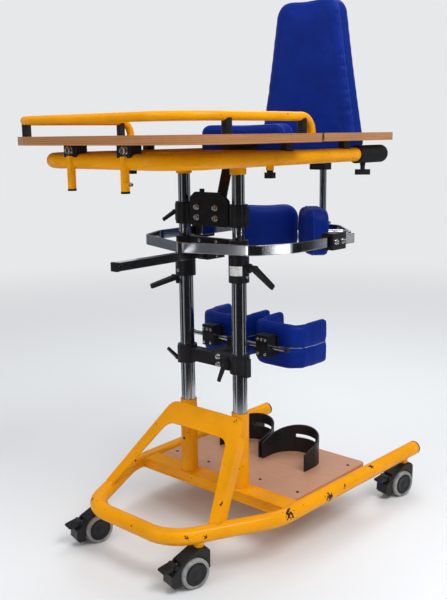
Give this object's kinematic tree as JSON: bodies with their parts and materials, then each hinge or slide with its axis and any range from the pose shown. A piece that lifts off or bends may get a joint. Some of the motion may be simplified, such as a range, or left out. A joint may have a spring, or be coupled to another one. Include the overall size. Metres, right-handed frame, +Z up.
{
  "type": "standing frame",
  "caption": "Standing frame on swivel castors with telescopic masts, railed tray, hip ring, backrest, chest and knee pads, footplate and heel cups.",
  "frame": {"origin": "on the floor, in the middle of the overall box", "axes": "+X to the right seen from the front, +Y towards the open rear end where the user steps in, +Z up"},
  "size_m": [0.66, 0.9794, 1.412],
  "materials": {
    "yellow_paint": "gloss, chipped",
    "chrome": "polished",
    "black_plastic": "satin",
    "black_metal": "satin",
    "blue_vinyl": "smooth satin",
    "grey_tyre": "matte",
    "beige_ply": "satin laminate",
    "brown_ply": "varnished"
  },
  "bodies": {
    "base": {"base_tube": "yellow_paint", "tube_plugs": "black_plastic", "cross_members": "yellow_paint", "mast_sockets": "yellow_paint", "gusset_plate": "yellow_paint", "footplate": "beige_ply", "heel_cups": "black_plastic", "outer_masts": "chrome", "mast_collars": "black_metal", "hip_bracket": "black_metal"},
    "table": {"inner_masts": "chrome", "table_frame": "yellow_paint", "tray": "brown_ply", "grab_rail": "yellow_paint", "rail_posts": "black_plastic", "tray_brackets": "black_plastic", "end_sleeves": "black_plastic"},
    "chest_support": {"chest_clamp": "black_metal", "chest_strut": "black_metal", "chest_pad": "blue_vinyl"},
    "knee_support": {"knee_clamp": "black_metal", "knee_rod": "chrome"},
    "knee_side_left": {"knee_holder_left": "black_metal", "knee_pad_left": "blue_vinyl"},
    "knee_side_right": {"knee_holder_right": "black_metal", "knee_pad_right": "blue_vinyl"},
    "hip_support": {"hip_slide_bar": "chrome", "hip_bar_cap": "black_plastic", "hip_ring": "chrome"},
    "rear_support": {"ring_clamps": "black_metal", "rear_bar": "chrome", "backrest_post": "chrome", "hip_pads": "blue_vinyl"},
    "backrest": {"backrest_bracket": "black_metal", "backrest_pad": "blue_vinyl"},
    "castor_fl": {"castor_hood_fl": "black_plastic"},
    "wheels_fl": {"castor_hubs_fl": "black_plastic", "castor_tyres_fl": "grey_tyre"},
    "pedal_fl": {"castor_pedal_fl": "black_plastic"},
    "castor_fr": {"castor_hood_fr": "black_plastic"},
    "wheels_fr": {"castor_hubs_fr": "black_plastic", "castor_tyres_fr": "grey_tyre"},
    "pedal_fr": {"castor_pedal_fr": "black_plastic"},
    "castor_rl": {"castor_hood_rl": "black_plastic"},
    "wheels_rl": {"castor_hubs_rl": "black_plastic", "castor_tyres_rl": "grey_tyre"},
    "pedal_rl": {"castor_pedal_rl": "black_plastic"},
    "castor_rr": {"castor_hood_rr": "black_plastic"},
    "wheels_rr": {"castor_hubs_rr": "black_plastic", "castor_tyres_rr": "grey_tyre"},
    "pedal_rr": {"castor_pedal_rr": "black_plastic"},
    "collar_lever_left": {"collar_lever_left": "black_plastic"},
    "frame_knob_left": {"frame_knob_left": "black_plastic"},
    "sleeve_knob_left": {"sleeve_knob_left": "black_plastic"},
    "collar_lever_right": {"collar_lever_right": "black_plastic"},
    "frame_knob_right": {"frame_knob_right": "black_plastic"},
    "sleeve_knob_right": {"sleeve_knob_right": "black_plastic"},
    "chest_lever": {"chest_lever": "black_plastic"},
    "knee_lever_left": {"knee_lever_left": "black_plastic"},
    "knee_lever_right": {"knee_lever_right": "black_plastic"}
  },
  "joints": [
    {"name": "table_height", "type": "slide", "parent": "base", "child": "table", "axis": [0, 0, 1], "range_m": [-0.015, 0.2]},
    {"name": "chest_height", "type": "slide", "parent": "table", "child": "chest_support", "axis": [0, 0, 1], "range_m": [-0.015, 0.03]},
    {"name": "knee_height", "type": "slide", "parent": "base", "child": "knee_support", "axis": [0, 0, 1], "range_m": [-0.09, 0.12]},
    {"name": "knee_width_left", "type": "slide", "parent": "knee_support", "child": "knee_side_left", "axis": [-1, 0, 0], "range_m": [0, 0.03]},
    {"name": "knee_width_right", "type": "slide", "parent": "knee_support", "child": "knee_side_right", "axis": [1, 0, 0], "range_m": [0, 0.03]},
    {"name": "hip_depth", "type": "slide", "parent": "base", "child": "hip_support", "axis": [0, 1, 0], "range_m": [-0.06, 0.03]},
    {"name": "rear_depth", "type": "slide", "parent": "hip_support", "child": "rear_support", "axis": [0, 1, 0], "range_m": [-0.05, 0.045]},
    {"name": "back_height", "type": "slide", "parent": "rear_support", "child": "backrest", "axis": [0, 0, 1], "range_m": [-0.03, 0.1]},
    {"name": "swivel_fl", "type": "hinge", "parent": "base", "child": "castor_fl", "pos_m": [-0.17376, -0.3315, 0], "axis": [0, 0, 1], "continuous": true},
    {"name": "roll_fl", "type": "hinge", "parent": "castor_fl", "child": "wheels_fl", "pos_m": [-0.17944, -0.35482, 0.0375], "axis": [0.9715, -0.2368, 0], "continuous": true},
    {"name": "brake_fl", "type": "hinge", "parent": "castor_fl", "child": "pedal_fl", "pos_m": [-0.19033, -0.39951, 0.062], "axis": [0.9715, -0.2368, 0], "range_deg": [0, 15]},
    {"name": "swivel_fr", "type": "hinge", "parent": "base", "child": "castor_fr", "pos_m": [0.17376, -0.3315, 0], "axis": [0, 0, 1], "continuous": true},
    {"name": "roll_fr", "type": "hinge", "parent": "castor_fr", "child": "wheels_fr", "pos_m": [0.16807, -0.35482, 0.0375], "axis": [0.9715, -0.2368, 0], "continuous": true},
    {"name": "brake_fr", "type": "hinge", "parent": "castor_fr", "child": "pedal_fr", "pos_m": [0.15718, -0.39951, 0.062], "axis": [0.9715, -0.2368, 0], "range_deg": [0, 15]},
    {"name": "swivel_rl", "type": "hinge", "parent": "base", "child": "castor_rl", "pos_m": [-0.28088, 0.4305, 0], "axis": [0, 0, 1], "continuous": true},
    {"name": "roll_rl", "type": "hinge", "parent": "castor_rl", "child": "wheels_rl", "pos_m": [-0.28656, 0.40718, 0.0375], "axis": [0.9715, -0.2368, 0], "continuous": true},
    {"name": "brake_rl", "type": "hinge", "parent": "castor_rl", "child": "pedal_rl", "pos_m": [-0.29746, 0.36249, 0.062], "axis": [0.9715, -0.2368, 0], "range_deg": [0, 15]},
    {"name": "swivel_rr", "type": "hinge", "parent": "base", "child": "castor_rr", "pos_m": [0.28088, 0.4305, 0], "axis": [0, 0, 1], "continuous": true},
    {"name": "roll_rr", "type": "hinge", "parent": "castor_rr", "child": "wheels_rr", "pos_m": [0.2752, 0.40718, 0.0375], "axis": [0.9715, -0.2368, 0], "continuous": true},
    {"name": "brake_rr", "type": "hinge", "parent": "castor_rr", "child": "pedal_rr", "pos_m": [0.2643, 0.36249, 0.062], "axis": [0.9715, -0.2368, 0], "range_deg": [0, 15]},
    {"name": "collar_clamp_left", "type": "hinge", "parent": "base", "child": "collar_lever_left", "pos_m": [-0.13, -0.0845, 0.67], "axis": [1, 0, 0], "range_deg": [-30, 60]},
    {"name": "frame_screw_left", "type": "hinge", "parent": "table", "child": "frame_knob_left", "pos_m": [-0.235, -0.1365, 0.955], "axis": [0, 0, 1], "range_deg": [-180, 180]},
    {"name": "sleeve_screw_left", "type": "hinge", "parent": "table", "child": "sleeve_knob_left", "pos_m": [-0.235, 0.2505, 0.945], "axis": [0, 0, 1], "range_deg": [-180, 180]},
    {"name": "collar_clamp_right", "type": "hinge", "parent": "base", "child": "collar_lever_right", "pos_m": [0.13, -0.0845, 0.72], "axis": [1, 0, 0], "range_deg": [-50, 50]},
    {"name": "frame_screw_right", "type": "hinge", "parent": "table", "child": "frame_knob_right", "pos_m": [0.235, -0.1365, 0.955], "axis": [0, 0, 1], "range_deg": [-180, 180]},
    {"name": "sleeve_screw_right", "type": "hinge", "parent": "table", "child": "sleeve_knob_right", "pos_m": [0.235, 0.2505, 0.945], "axis": [0, 0, 1], "range_deg": [-180, 180]},
    {"name": "chest_screw", "type": "hinge", "parent": "chest_support", "child": "chest_lever", "pos_m": [-0.121, -0.0845, 0.848], "axis": [1, 0, 0], "range_deg": [-90, 90]},
    {"name": "knee_screw_left", "type": "hinge", "parent": "knee_support", "child": "knee_lever_left", "pos_m": [-0.123, -0.0845, 0.448], "axis": [1, 0, 0], "range_deg": [-90, 90]},
    {"name": "knee_screw_right", "type": "hinge", "parent": "knee_support", "child": "knee_lever_right", "pos_m": [0.068, -0.1105, 0.465], "axis": [0, 1, 0], "range_deg": [-60, 60]}
  ]
}
